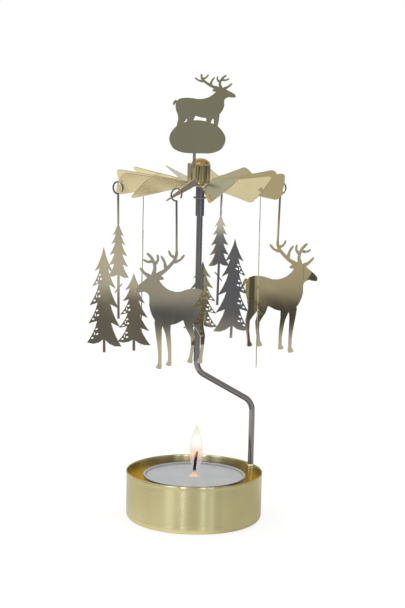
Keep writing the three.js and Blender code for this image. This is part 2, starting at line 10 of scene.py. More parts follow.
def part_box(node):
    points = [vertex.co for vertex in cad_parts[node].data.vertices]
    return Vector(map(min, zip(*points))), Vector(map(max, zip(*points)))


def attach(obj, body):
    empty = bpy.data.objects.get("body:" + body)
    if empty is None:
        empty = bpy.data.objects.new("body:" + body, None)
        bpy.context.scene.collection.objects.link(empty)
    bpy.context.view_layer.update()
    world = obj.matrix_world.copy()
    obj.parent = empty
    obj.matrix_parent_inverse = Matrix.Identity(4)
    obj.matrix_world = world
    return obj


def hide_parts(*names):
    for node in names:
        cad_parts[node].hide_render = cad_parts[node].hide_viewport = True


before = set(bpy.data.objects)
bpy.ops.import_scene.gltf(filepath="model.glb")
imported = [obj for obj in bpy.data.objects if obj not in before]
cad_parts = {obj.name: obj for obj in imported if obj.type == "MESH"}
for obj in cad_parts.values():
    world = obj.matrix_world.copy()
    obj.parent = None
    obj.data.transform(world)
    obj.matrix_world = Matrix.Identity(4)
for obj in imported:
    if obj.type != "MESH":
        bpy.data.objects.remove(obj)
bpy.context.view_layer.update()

mm = 0.001
up = Vector((0, 0, 1))
scene = bpy.context.scene
scene.view_settings.view_transform = "Standard"
print("frame loaded:", len(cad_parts), "pieces")


def boxMm(node):
    return [[value / mm for value in corner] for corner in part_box(node)]


def addObject(name, data):
    made = bpy.data.objects.new(name, data)
    scene.collection.objects.link(made)
    return made


# Camera
cameraPlace = dict(
    distance=652.6, height=183.5, sideways=1.76, tiltDown=8.806, roll=1.23, focalPixels=1761.3,
    pictureRows=608, sensor=36,
)


def makeCamera(place):
    data = bpy.data.cameras.new("studioCamera")
    data.sensor_fit = "VERTICAL"
    data.sensor_height = place["sensor"]
    data.lens = place["focalPixels"] / place["pictureRows"] * place["sensor"]
    spot = Vector((place["sideways"], -place["distance"], place["height"])) * mm
    turn = Matrix.Rotation(radians(90 - place["tiltDown"]), 4, "X")
    lean = Matrix.Rotation(radians(place["roll"]), 4, "Z")
    scene.camera = addObject("studioCamera", data)
    scene.camera.matrix_world = Matrix.Translation(spot) @ turn @ lean


makeCamera(cameraPlace)
print("camera placed")


# One node tree: values go straight onto sockets, and sockets are linked
class Nodes:
    def __init__(self, tree):
        self.tree = tree
        self.shader = tree.nodes.get("Principled BSDF")

    def feed(self, node, **inputs):
        for name, value in inputs.items():
            socket = node.inputs[int(name[1:]) if name[1:].isdigit() else name.replace("_", " ")]
            if isinstance(value, bpy.types.NodeSocket):
                self.tree.links.new(value, socket)
            else:
                socket.default_value = (*value, 1) if socket.type == "RGBA" else value
        return node.outputs

    def add(self, kind, settings=None, **inputs):
        node = self.tree.nodes.new("ShaderNode" + kind)
        for name, value in (settings or {}).items():
            setattr(node, name, value)
        return self.feed(node, **inputs)

    def group(self, tree, **inputs):
        return self.add("Group", {"node_tree": tree}, **inputs)[0]

    def maths(self, operation, *values, kind="Math", output=0):
        inputs = {f"n{index}": value for index, value in enumerate(values)}
        return self.add(kind, {"operation": operation}, **inputs)[output]

    def times(self, first, *others):
        for other in others:
            first = self.maths("MULTIPLY", first, other)
        return first

    def span(self, value, fromLow, fromHigh, toLow=0.0, toHigh=1.0, kind="SMOOTHSTEP"):
        return self.add("MapRange", {"interpolation_type": kind}, Value=value, From_Min=fromLow,
                        From_Max=fromHigh, To_Min=toLow, To_Max=toHigh)["Result"]

    def spanMm(self, value, fromLow, fromHigh, *others):
        return self.span(value, fromLow * mm, fromHigh * mm, *others)

    def mix(self, factor, first, second):
        return self.add("Mix", {"data_type": "RGBA"}, Factor=factor, n6=first, n7=second)[2]

    def ramp(self, factor, stops):
        node = self.tree.nodes.new("ShaderNodeValToRGB")
        ramp = node.color_ramp
        while len(ramp.elements) < len(stops):
            ramp.elements.new(0.5)
        for element, (place, shade) in zip(ramp.elements, stops):
            element.position = place
            element.color = (*shade, 1) if isinstance(shade, tuple) else (shade, shade, shade, 1)
        return self.feed(node, Fac=factor)["Color"]

    def rampOver(self, value, table, reach=180):
        factor = self.span(value, -reach, reach, kind="LINEAR")
        return self.ramp(factor, [((place + reach) / reach / 2, shade) for place, shade in table])

    def bump(self, height, depth, strength=1.0, **under):
        return self.add("Bump", Strength=strength, Distance=depth * mm, Height=height, **under)["Normal"]

    def place(self):
        node = self.tree.nodes.get("place")
        return (node.outputs if node else self.add("TexCoord", {"name": "place"}))["Object"]

    def parts(self):
        return self.add("SeparateXYZ", Vector=self.place())

    def flatReach(self):
        parts = self.parts()
        flat = self.add("CombineXYZ", X=parts["X"], Y=parts["Y"])[0]
        return self.maths("LENGTH", flat, kind="VectorMath", output="Value")

    def tint(self, mask, colour):
        plain = self.shader.inputs["Base Color"].links[0].from_socket
        self.feed(self.shader, Base_Color=self.mix(mask, plain, colour))

    def glow(self, mask, colour, strength=1.0):
        self.feed(self.shader, Emission_Color=self.mix(mask, (0, 0, 0), colour), Emission_Strength=strength)


def newGroup(name, inputs, output):
    tree = bpy.data.node_groups.new(name, "ShaderNodeTree")
    for label, kind in inputs.items():
        tree.interface.new_socket(name=label, in_out="INPUT", socket_type=kind)
    tree.interface.new_socket(name=output, in_out="OUTPUT", socket_type="NodeSocketFloat")
    return Nodes(tree), tree.nodes.new("NodeGroupInput").outputs, tree.nodes.new("NodeGroupOutput")


# Noise packed closer along each axis by Stretch; a span widens its values
def makeNoiseGroup(name, output, noise, span=None):
    nodes, given, result = newGroup(name, dict.fromkeys(("Place", "Stretch"), "NodeSocketVector"), output)
    stretched = nodes.maths("MULTIPLY", given["Place"], given["Stretch"], kind="VectorMath")
    value = nodes.add("TexNoise", Vector=stretched, Scale=1.0, **noise)["Fac"]
    nodes.feed(result, **{output: nodes.span(value, *span) if span else value})
    return nodes.tree


# A mask along sharp edges
edgeMask = dict(samples=4, alike=(0.995, 0.85))


def makeEdgeGroup(look):
    nodes, given, result = newGroup("edgeLine", {"Width": "NodeSocketFloat"}, "Edge")
    soft = nodes.add("Bevel", {"samples": look["samples"]}, Radius=given["Width"])["Normal"]
    sharp = nodes.add("NewGeometry")["Normal"]
    alike = nodes.maths("DOT_PRODUCT", soft, sharp, kind="VectorMath", output="Value")
    nodes.feed(result, Edge=nodes.span(alike, *look["alike"]))
    return nodes.tree


# Fine lines of worked metal, soft patches left by hands and the slow waves of thin sheet
metalGrain = makeNoiseGroup("metalGrain", "Grain", {"Detail": 4.0, "Roughness": 0.6})
handSmudge = makeNoiseGroup("handSmudge", "Smudge", {"Detail": 3.0, "Distortion": 0.8}, (0.4, 0.66))
sheetWave = makeNoiseGroup("sheetWave", "Wave", {"Detail": 1.0, "Roughness": 0.3})
edgeLine = makeEdgeGroup(edgeMask)
materials = {}


def nodesOf(name):
    return Nodes(materials[name].node_tree)


def newMaterial(name):
    materials[name] = bpy.data.materials.new(name)
    materials[name].use_nodes = True
    return nodesOf(name)


# One polished or drawn metal: colour, smudges, grain and a colour of its own along sharp edges
def makeMetal(name, look):
    nodes = newMaterial(name)
    place = nodes.place()
    grain = nodes.group(metalGrain, Place=place, Stretch=look["grainStretch"])
    smudge = nodes.group(handSmudge, Place=place, Stretch=(look["smudgeSize"],) * 3)
    wave = nodes.group(sheetWave, Place=place, Stretch=(look["waveSize"],) * 3)
    edge = nodes.group(edgeLine, Width=look["edgeWidth"] * mm)
    colour, rough = look["color"], look["roughness"]
    for mask, kind, shade in ((smudge, "smudge", "dull"), (grain, "grain", "dull"), (edge, "edge", "edge")):
        colour = nodes.mix(nodes.times(mask, look[kind + "Tint"]), colour, look[shade])
        rough = nodes.maths("MULTIPLY_ADD", mask, look[kind + "Roughness"], rough)
    slow = nodes.bump(wave, look["waveDepth"])
    fine = nodes.bump(grain, look["bumpDepth"], look["bump"], Normal=slow)
    nodes.feed(nodes.shader, Base_Color=colour, Roughness=rough, Normal=fine, Metallic=1,
               Specular_Tint=(look["grazing"],) * 3)
    if "anisotropy" in look:
        around = nodes.add("Tangent", {"direction_type": "RADIAL", "axis": "Z"})["Tangent"]
        nodes.feed(nodes.shader, Anisotropic=look["anisotropy"], Anisotropic_Rotation=look["grainTurn"],
                   Tangent=around)


# The stamped sheet's look, and what differs from it in each metal
sheetBrassLook = dict(
    color=(0.68, 0.63, 0.43), dull=(0.58, 0.53, 0.37), edge=(0.3, 0.28, 0.2), roughness=0.03,
    grazing=1.0, smudgeSize=55, smudgeTint=0.2, smudgeRoughness=0.03, grainStretch=(2600, 2600, 120),
    grainTint=0.1, grainRoughness=0.02, edgeWidth=0.15, edgeTint=0.85, edgeRoughness=0.3, waveSize=45,
    waveDepth=0.04, bump=0.04, bumpDepth=0.02,
)
metalLooks = dict(
    sheetBrass=dict(),
    fanBrass=dict(
        color=(0.72, 0.62, 0.36), dull=(0.63, 0.53, 0.3), edge=(0.6, 0.52, 0.33), roughness=0.14,
        grainStretch=(140, 2600, 2600),
    ),
    capBrass=dict(
        color=(0.66, 0.55, 0.29), dull=(0.56, 0.46, 0.24), edge=(0.7, 0.6, 0.35), roughness=0.05,
        grainStretch=(300, 300, 3200), waveDepth=0.0,
    ),
    cupBrass=dict(
        color=(0.62, 0.55, 0.29), dull=(0.54, 0.47, 0.245), edge=(0.78, 0.7, 0.42), roughness=0.26,
        grazing=0.75, anisotropy=0.92, grainTurn=0.25, smudgeSize=35, smudgeRoughness=0.04,
        grainStretch=(220, 220, 2400), edgeTint=0.35, waveSize=60, waveDepth=0.015, bump=0.02,
    ),
    drawnSteel=dict(
        color=(0.31, 0.295, 0.29), dull=(0.23, 0.22, 0.215), edge=(0.4, 0.39, 0.38), roughness=0.11,
        smudgeTint=0.3, grainStretch=(900, 900, 60), grainTint=0.2, edgeTint=0.35, waveDepth=0.0,
        bump=0.02,
    ),
    tealightFoil=dict(
        color=(0.74, 0.74, 0.77), dull=(0.64, 0.64, 0.68), edge=(0.84, 0.84, 0.86), roughness=0.33,
        grainStretch=(900, 900, 900), edgeTint=0.35, bump=0.08,
    ),
)
for name, change in metalLooks.items():
    makeMetal(name, {**sheetBrassLook, **change})

# Painted glow: the candle's light caught between cup and tea light is painted onto the cup's inside as a
# golden glow, stronger at the sides
paintedMoatGlowLook = dict(
    color=(0.3, 0.17, 0.014), radius=25.5, wall=(25.55, 25.45), depth=(17.4, 12), foot=(2.4, 2.7),
    left=(-0.2, -0.85, 0.03, 1.0), right=(0.55, 0.95, 0.03, 0.7),
)


def addPaintedMoatGlow(look):
    nodes = nodesOf("cupBrass")
    parts = nodes.parts()
    aside = nodes.maths("DIVIDE", parts["X"], look["radius"] * mm)
    sides = nodes.maths("MAXIMUM", nodes.span(aside, *look["left"]), nodes.span(aside, *look["right"]))
    inside = nodes.spanMm(nodes.flatReach(), *look["wall"])
    risen = nodes.spanMm(parts["Z"], *look["foot"])
    # Painted glow of the candle's light on the cup's inner wall
    nodes.glow(nodes.times(inside, risen, nodes.spanMm(parts["Z"], *look["depth"]), sides), look["color"])


# Painted reflection: the hub cap's dome is painted a deeper, darker gold than its side
paintedDomeReflectionLook = dict(color=(0.5, 0.31, 0.08), depth=2.5, blend=0.3, share=0.75)


def addPaintedDomeReflection(look):
    nodes = nodesOf("capBrass")
    foot = boxMm("hub_cap")[1][2] - look["depth"]
    dome = nodes.spanMm(nodes.parts()["Z"], foot, foot + look["blend"], 0.0, look["share"])
    # Painted reflection: a darker gold mixed over the dome
    nodes.tint(dome, look["color"])


# Painted shade: the foil's lip is painted dark in front
paintedLipShadeLook = dict(
    color=(0.16, 0.15, 0.22), depth=-0.02, width=0.9, blend=0.1, front=(-1, -5), share=0.9,
)


def addPaintedLipShade(look):
    nodes = nodesOf("tealightFoil")
    parts = nodes.parts()
    edge = boxMm("tealight_cup")[1][2] - look["depth"]
    foot = edge - look["width"]
    below = nodes.spanMm(parts["Z"], edge, edge - look["blend"], 0.0, look["share"])
    above = nodes.spanMm(parts["Z"], foot, foot + look["blend"])
    # Painted shade on the front of the lip
    nodes.tint(nodes.times(below, above, nodes.spanMm(parts["Y"], *look["front"])), look["color"])


addPaintedMoatGlow(paintedMoatGlowLook)
addPaintedDomeReflection(paintedDomeReflectionLook)
addPaintedLipShade(paintedLipShadeLook)
print("metals mixed")

# Wax: milky, satin, warmer in colour where it climbs the wick, with a painted glow of the flame's light there
waxTop = boxMm("tealight_wax")[1][2]
waxLook = dict(
    color=(0.56, 0.56, 0.57), bloom=(0.5, 0.51, 0.54), bloomSize=160, bloomDetail=4.0,
    bloomSpan=(0.35, 0.7), warm=(0.78, 0.62, 0.5), paintedFlameGlow=(0.24, 0.16, 0.1), warmReach=2.9,
    roughness=0.38, subsurface=0.4, scatter=(1, 0.9, 0.8), depth=1.5, bump=0.15, bumpDepth=0.08,
)


def makeWaxMaterial(look):
    nodes = newMaterial("candleWax")
    noise = nodes.add("TexNoise", Vector=nodes.place(), Scale=look["bloomSize"],
                      Detail=look["bloomDetail"])["Fac"]
    milky = nodes.mix(nodes.span(noise, *look["bloomSpan"]), look["color"], look["bloom"])
    near = nodes.spanMm(nodes.flatReach(), look["warmReach"], look["warmReach"] / 3)
    # Painted glow of the flame's light in the wax near the wick
    nodes.glow(near, look["paintedFlameGlow"])
    nodes.feed(nodes.shader, Base_Color=nodes.mix(near, milky, look["warm"]), Roughness=look["roughness"],
               Normal=nodes.bump(noise, look["bumpDepth"], look["bump"]),
               Subsurface_Weight=look["subsurface"], Subsurface_Radius=look["scatter"],
               Subsurface_Scale=look["depth"] * mm)


# Wick: waxed and pale at the foot, charred above, glowing at the tip
wickLook = dict(
    waxed=(0.78, 0.55, 0.44), char=(0.008, 0.007, 0.007), ember=(0.36, 0.11, 0.03), waxedLength=2.6,
    emberLength=2.8, emberStrength=0.35, blend=0.7, strandStretch=(2400, 2400, 900), strandDepth=0.08,
    bump=0.6, roughness=0.85,
)


def makeWickMaterial(look):
    nodes = newMaterial("burntWick")
    height = nodes.parts()["Z"]
    waxedTop = waxTop + look["waxedLength"]
    emberFoot = boxMm("tealight_wick")[1][2] - look["emberLength"]
    charred = nodes.spanMm(height, waxedTop - look["blend"], waxedTop)
    glowing = nodes.spanMm(height, emberFoot, emberFoot + look["blend"] * 2)
    strands = nodes.group(metalGrain, Place=nodes.place(), Stretch=look["strandStretch"])
    colour = nodes.mix(glowing, nodes.mix(charred, look["waxed"], look["char"]), look["ember"])
    nodes.glow(glowing, look["ember"], look["emberStrength"])
    nodes.feed(nodes.shader, Base_Color=colour, Roughness=look["roughness"],
               Normal=nodes.bump(strands, look["strandDepth"], look["bump"]))


makeWaxMaterial(waxLook)
makeWickMaterial(wickLook)
print("wax and wick mixed")


# Meshes
def newMesh(name, mesh):
    data = bpy.data.meshes.new(name)
    mesh.to_mesh(data)
    mesh.free()
    return data


def addPiece(name, data, material, body, slot=None, node=None, sharpAngle=35):
    data.shade_smooth()
    data.set_sharp_from_angle(angle=radians(sharpAngle))
    data.materials.append(materials[material])
    piece = addObject(name, data)
    piece.modifiers.new("evenShading", "WEIGHTED_NORMAL").keep_sharp = True
    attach(piece, body)
    if node:
        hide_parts(node)
    return piece


# Skins rings of points; a ring of one point closes an end, and loop joins the last ring to the first
def addSkinned(name, rings, *about, loop=False):
    mesh = bmesh.new()
    rows = [[mesh.verts.new(point) for point in ring] for ring in rings]
    for low, high in zip(rows, rows[1:] + (rows[:1] if loop else [])):
        for side in range(max(len(low), len(high))):
            places = ((low, side), (low, side + 1), (high, side + 1), (high, side))
            mesh.faces.new(list(dict.fromkeys(ring[place % len(ring)] for ring, place in places)))
    bmesh.ops.recalc_face_normals(mesh, faces=mesh.faces)
    return addPiece(name, newMesh(name, mesh), *about)


def shares(steps):
    return [step / steps for step in range(steps + 1)]


def curved(start, corner, end, share):
    return start.lerp(corner, share).lerp(corner.lerp(end, share), share)


def clamp(share):
    return min(max(share, 0), 1)


def heading(angle):
    return Vector((cos(angle), sin(angle), 0))


def pointAt(radius, angle, height=0.0):
    return Vector((radius * cos(angle), radius * sin(angle), height)) * mm


def circle(radius, height, sides):
    sides = sides if radius else 1
    return [pointAt(radius, tau * side / sides, height) for side in range(sides)]


# Each point of a closed line: how the line arrives and leaves, and the runs before and after it
def alongLoop(points):
    steps = [here - before for before, here in zip(points[-1:] + points[:-1], points)]
    return [(here, into.normalized(), out.normalized(), (into.length, out.length))
            for here, into, out in zip(points, steps, steps[1:] + steps[:1])]


# Rounds the corners of a profile; each corner is radius, height and rounding in mm
def softProfile(corners, steps=5):
    points = []
    bends = alongLoop([Vector(corner[:2]) for corner in corners])
    for (here, arriving, leaving, _), (_, _, rounding) in zip(bends, corners):
        if rounding == 0:
            points.append(here)
            continue
        reach = rounding * tan(arriving.angle(leaving) / 2)
        start, end = here - arriving * reach, here + leaving * reach
        points += [curved(start, here, end, share) for share in shares(steps)]
    return points


# A turned piece stands where its node stands; a profile that starts off the axis closes on itself
def addTurned(name, node, corners, material, body, slot, sides=96):
    profile = softProfile(corners)
    rings = [circle(radius, height, sides) for radius, height in profile]
    return addSkinned(name, rings, material, body, slot, node, loop=profile[0][0] != 0)


# Cup: a drawn shell with a rounded foot, a rolled rim, two rolled lines and a channel for the wire
cupDetail = dict(
    wall=0.4, footRound=2.2, footSteps=12, rimRoll=0.16, rimRollDepth=0.75, rimSteps=6,
    channelRadius=1.45, channelShoulder=1.1, channelArc=72, channelSteps=10, wireAzimuth=31,
    wireRecess=0.4, dishRadius=19, dishDepth=0.18, dishSlope=1, lineDepths={3.2: 0.04, 16.2: 0.015},
    lineWidth=1.2, lineSteps=3, sides=150,
)
cupHigh = boxMm("holder_cup")[1]
cupHeight = cupHigh[2]
cupRadius = cupHigh[0] - cupDetail["rimRoll"]
wireReach = cupRadius - cupDetail["wireRecess"]
wireAzimuth = radians(cupDetail["wireAzimuth"])


# Round the cup from the wire: angle, reach, and how far the reach follows the wall
def cupStations(look, inward):
    bend = look["channelRadius"] + look["wall"] * inward
    radius = cupRadius - look["wall"] * inward
    arcEnd = radians(look["channelArc"])
    turns = [arcEnd * share for share in shares(look["channelSteps"])]
    half = [(Vector((bend * sin(turn), wireReach - bend * cos(turn))), 0.0) for turn in turns]
    start = half[-1][0]
    rise = sqrt(radius ** 2 - start.x ** 2) - start.y
    corner = start + Vector((rise / tan(arcEnd), rise))
    side = start.x + look["channelShoulder"]
    end = Vector((side, sqrt(radius ** 2 - side ** 2)))
    half += [(curved(start, corner, end, share), share) for share in shares(look["channelSteps"])[1:]]
    right = [(atan2(spot.x, spot.y), spot.length, share) for spot, share in half]
    turn = right[-1][0]
    wall = [(turn + (tau - 2 * turn) * step / look["sides"], radius, 1.0) for step in range(1, look["sides"])]
    left = [(-angle, reach, share) for angle, reach, share in reversed(right[1:])]
    return right + wall + left, radius


def cupRing(look, radius, height, inward):
    stations, full = cupStations(look, inward)
    return [pointAt(min(reach + (radius - full) * share, radius), wireAzimuth + angle, height)
            for angle, reach, share in stations]


# Up one face of the wall from the dish: round the foot and over the rolled lines
def wallRows(look, inset, inward):
    foot, dish = look["footRound"], look["dishRadius"]
    bend = foot - inset
    rows = [(dish, inset + look["dishDepth"], inward), (dish + look["dishSlope"], inset, inward)]
    for share in shares(look["footSteps"]):
        angle = pi / 2 * (share - 1)
        rows.append((cupRadius - foot + bend * cos(angle), foot + bend * sin(angle), inward))
    for height, depth in look["lineDepths"].items():
        for step in range(-look["lineSteps"], look["lineSteps"] + 1):
            share = step / look["lineSteps"]
            dip = depth * cos(share * pi / 2) ** 2
            rows.append((cupRadius - inset - dip, height + share * look["lineWidth"] / 2, inward))
    return rows


def makeCup(look):
    rollDepth, wall = look["rimRollDepth"], look["wall"]
    rollRound = (wall + look["rimRoll"]) / 2
    rimMiddle = cupHeight - rollDepth
    rim = [(cupRadius, rimMiddle - rollDepth, 0)]
    for share in shares(look["rimSteps"]):
        rim.append((cupHigh[0] - rollRound + rollRound * cos(pi * share),
                    rimMiddle + rollDepth * sin(pi * share), share))
    rows = wallRows(look, 0, 0) + rim + wallRows(look, wall, 1)[::-1]
    under, over = (circle(0, look["dishDepth"] + height, 1) for height in (0, wall))
    rings = [under, *(cupRing(look, *row) for row in rows), over]
    return addSkinned("cup_shell", rings, "cupBrass", "base", "cup_brass", "holder_cup")


cup = makeCup(cupDetail)
print("cup drawn")

# Wire: up the cup's side, in over the flame, then up the axis
wireDetail = dict(
    radius=1.15, bend=6.5, bendSteps=20, upright=24.3, slopeRise=14.4, endRound=0.3,
    endProfile=((0, 1), (0.3, 0.3), (1, 0)), sides=32,
)


def bentPath(corners, bend, steps):
    first, *inner, last = alongLoop(corners)
    path = [(first[0], first[2])]
    for here, arriving, leaving, _ in inner:
        turn = arriving.angle(leaving)
        axis = arriving.cross(leaving).normalized()
        start = here - arriving * bend * tan(turn / 2)
        centre = start + axis.cross(arriving) * bend
        for share in shares(steps):
            roll = Matrix.Rotation(turn * share, 3, axis)
            path.append((centre + roll @ (start - centre), roll @ arriving))
    return [*path, (last[0], last[1])]


def rodRings(path, sideways, sides):
    turns = [tau * side / sides for side in range(sides)]
    return [[(spot + (sideways * cos(turn) + along.cross(sideways) * sin(turn)) * radius) * mm
             for turn in turns] for spot, along, radius in path]


def makeWire(look):
    low, high = boxMm("wire_stand")
    out = heading(wireAzimuth) * wireReach
    slopeFoot = cupHeight + look["upright"]
    corners = [out + up * low[2], out + up * slopeFoot, up * (slopeFoot + look["slopeRise"]), up * high[2]]
    path = bentPath(corners, look["bend"], look["bendSteps"])
    radius, rounding = look["radius"], look["endRound"]
    ends = [(rounding * inset, radius - rounding * back) for inset, back in look["endProfile"]]
    foot = [(path[0][0] + path[0][1] * inset, path[0][1], reach) for inset, reach in ends]
    head = [(path[-1][0] - path[-1][1] * inset, path[-1][1], reach) for inset, reach in reversed(ends)]
    middle = [(spot, along, radius) for spot, along in path[1:-1]]
    rings = rodRings(foot + middle + head, up.cross(heading(wireAzimuth)), look["sides"])
    closed = [[corners[0] * mm], *rings, [corners[-1] * mm]]
    addSkinned("wire_rod", closed, "drawnSteel", "base", "steel", "wire_stand")


makeWire(wireDetail)
print("wire bent")

# Pivot: sleeve, collar and needle, turned from bar
pivotDetail = dict(
    sleeveWall=0.33, needleRadius=0.5, needleFit=0.13, needlePoint=2.4, pointRadius=0.08,
    collarHole=1.74, chamfer=0.12,
)


def makePivot(look):
    low, high = boxMm("pivot_sleeve")
    needleLow, (_, _, tip) = boxMm("pivot_needle")
    wall, soft = look["sleeveWall"], look["chamfer"]
    outer, bore = high[0], high[0] - wall
    radius = look["needleRadius"]
    hole = radius + look["needleFit"]
    addTurned("sleeve_turned", "pivot_sleeve", [
        (bore, low[2], soft), (outer, low[2], soft), (outer, high[2] - wall, soft),
        (outer - wall, high[2], soft), (hole, high[2], soft / 2), (hole, needleLow[2], 0),
        (bore, needleLow[2], 0),
    ], "drawnSteel", "base", "steel")
    addTurned("needle_ground", "pivot_needle", [
        (0, needleLow[2], 0), (radius, needleLow[2], soft), (radius, tip - look["needlePoint"], soft),
        (look["pointRadius"], tip, look["pointRadius"] / 2), (0, tip, 0),
    ], "drawnSteel", "base", "steel", sides=32)
    low, high = boxMm("stop_collar")
    hole = look["collarHole"]
    addTurned("collar_ring", "stop_collar", [
        (hole, low[2], soft / 2), (high[0], low[2], soft), (high[0], high[2], soft),
        (hole, high[2], soft / 2),
    ], "drawnSteel", "base", "steel")


makePivot(pivotDetail)
print("pivot turned")

# Hub cap: a deep drawn thimble whose flange carries the fan
capDetail = dict(
    wall=0.3, mouthRound=0.3, flangeWidth=0.85, flangeThickness=0.5, flangeRound=0.16, neckRound=0.2,
    domeRise=2.6, domeSteps=14, seatGap=0.3,
)
capLow, capHigh = boxMm("hub_cap")
capRadius = capHigh[0] - capDetail["flangeWidth"]
flangeTop = capLow[2] + capDetail["flangeThickness"]


def makeCap(look):
    rise, wall, soft = look["domeRise"], look["wall"], look["flangeRound"]
    shoulder = capHigh[2] - rise
    inner = capRadius - wall
    turns = [pi / 2 * share for share in shares(look["domeSteps"])[:-1]]
    outside, inside = ([(reach * cos(turn), shoulder + climb * sin(turn), 0) for turn in turns]
                       for reach, climb in ((capRadius, rise), (inner, rise - wall)))
    return addTurned("cap_drawn", "hub_cap", [
        (0, capHigh[2] - wall, 0), *reversed(inside), (inner, capLow[2], look["mouthRound"]),
        (capHigh[0], capLow[2], soft), (capHigh[0], flangeTop, soft),
        (capRadius, flangeTop, look["neckRound"]), *outside, (0, capHigh[2], 0),
    ], "capBrass", "carousel", "brass")


cap = makeCap(capDetail)
print("hub cap drawn")

# Tea light: a drawn foil cup with a rolled lip and small pleats
tealightDetail = dict(
    wall=0.45, footRound=1.2, lip=0.35, lipDepth=0.5, lipTop=0.05, lipRound=0.08, lipEdgeRound=0.1,
    pleats=48, pleatDepth=0.05, pleatTop=3, pleatReach=2, sides=192,
)


def makeTealightCup(look):
    low, high = boxMm("tealight_cup")
    radius, top = high[0] - look["lip"], high[2]
    foot, wall, soft = look["footRound"], look["wall"], look["lipRound"]
    profile = softProfile([
        (0, low[2], 0), (radius, low[2], foot), (radius, top - look["lipDepth"], soft),
        (high[0], top - look["lipDepth"] / 2, look["lipEdgeRound"]), (radius + look["lipTop"], top, soft),
        (radius - wall, top, soft), (radius - wall, low[2] + wall, foot - wall), (0, low[2] + wall, 0),
    ])
    rings = [circle(reach, height, look["sides"]) for reach, height in profile]
    for ring, (reach, height) in zip(rings[1:-1], profile[1:-1]):
        pleated = (clamp((top - look["pleatTop"] - height) / look["pleatTop"])
                   * clamp((reach - radius + look["pleatReach"]) / look["pleatReach"]))
        for side, point in enumerate(ring):
            wave = cos(tau * side * look["pleats"] / look["sides"])
            shrink = look["pleatDepth"] * pleated * (wave - 1) / 2 / reach
            point.x *= 1 + shrink
            point.y *= 1 + shrink
    addSkinned("tealight_foil", rings, "tealightFoil", "tealight", "aluminium", "tealight_cup")


# Poured wax round a tin foot
waxDetail = dict(
    footRound=1.2, edgeClimb=0.25, edgeRound=0.05, wickClimb=1.6, wickClimbReach=2.0, wickClimbSteps=5,
    wickHole=0.75, poolDip=0.12, poolRound=0.4, tinRound=0.1, tinSheet=0.3, tinBend=0.12,
    sustainerRadius=6.8, sustainerRise=0.6, neckRadius=1.35, neckRise=3.7,
)


def makeWax(look):
    low, high = boxMm("tealight_wax")
    radius, hole, soft = high[0], look["wickHole"], look["tinRound"]
    reach, neck = look["sustainerRadius"], look["neckRadius"]
    tinTop, neckTop = low[2] + look["sustainerRise"], low[2] + look["neckRise"]
    pool = high[2] - look["poolDip"]
    climb = [(hole + look["wickClimbReach"] * (1 - share) ** 2, pool + look["wickClimb"] * share ** 2, 0)
             for share in shares(look["wickClimbSteps"])]
    addTurned("wax_poured", "tealight_wax", [
        (reach, low[2], soft), (radius, low[2], look["footRound"]), (radius, high[2], look["edgeRound"]),
        (radius - look["edgeClimb"] * 2, pool, look["poolRound"]), *climb, (hole, neckTop, 0),
        (neck, neckTop, soft), (neck, tinTop, soft), (reach, tinTop, soft),
    ], "candleWax", "tealight", "wax")


def makeSustainer(look):
    low, high = boxMm("wick_sustainer")
    hole, soft = look["wickHole"], look["tinRound"]
    neck, sheetTop = hole + look["tinSheet"], low[2] + look["tinSheet"]
    addTurned("sustainer_tin", "wick_sustainer", [
        (hole, low[2], soft), (high[0], low[2], soft), (high[0], sheetTop, soft),
        (neck, sheetTop, look["tinBend"]), (neck, high[2], look["tinBend"]), (hole, high[2], soft),
    ], "tealightFoil", "tealight", "aluminium")


# A twisted wick that bends over at its tip
wickDetail = dict(
    radius=0.62, tipRadius=0.56, tipStart=0.02, tipPower=24, tipShare=0.12, strands=3, strandDepth=0.14,
    turnsPerMm=0.16, rings=60, sides=30,
)


def makeWick(look):
    low, high = boxMm("tealight_wick")
    lean = high[0] - look["tipRadius"]
    rings = [circle(0, low[2], 1)]
    for share in shares(look["rings"]):
        height = low[2] + (high[2] - low[2]) * share
        above = max((height - waxTop) / (high[2] - waxTop), 0)
        radius = look["radius"] + (look["tipRadius"] - look["radius"]) * above
        tip = (above * (1 + look["tipStart"]) - look["tipStart"]) ** look["tipPower"]
        radius *= min(1, sqrt(max(1 - tip, look["tipShare"])))
        centre = Vector((lean * above ** 2, 0, 0)) * mm
        ring = []
        for side in range(look["sides"]):
            angle = tau * side / look["sides"]
            strand = abs(cos((angle - height * look["turnsPerMm"] * tau) * look["strands"] / 2))
            reach = radius * (1 - look["strandDepth"] * (1 - strand))
            ring.append(centre + pointAt(reach, angle, height))
        rings.append(ring)
    rings.append([pointAt(lean, 0, high[2])])
    addSkinned("wick_twisted", rings, "burntWick", "tealight", "wick", "tealight_wick")


makeTealightCup(tealightDetail)
makeWax(waxDetail)
makeSustainer(waxDetail)
makeWick(wickDetail)
print("tea light poured")

# Sheets: stamped from flat outlines, with the burr taken off their edges
sheetDetail = dict(
    roundings=(0.05, 0), roundingSteps=2, roundingShare=0.2, leastStretch=0.5, cornerAngle=48,
    leastTurn=1.5, straightRun=1.7, shortestRun=0.03, curveSteps=3, sharpAngle=20, weld=0.0005,
    solidWeld=0.001, fillMargin=1e-9,
)


# Moves an outline into the sheet, which lies left of the run round it and round each hole
def insetLoop(loop, inset, look):
    moved = []
    for here, arriving, leaving, runs in alongLoop(loop):
        inward = Vector((-arriving.y - leaving.y, arriving.x + leaving.x)).normalized()
        stretch = max(inward.x * -arriving.y + inward.y * arriving.x, look["leastStretch"])
        room = min(runs) * look["roundingShare"]
        moved.append(here + inward * min(inset, room) / stretch)
    return moved


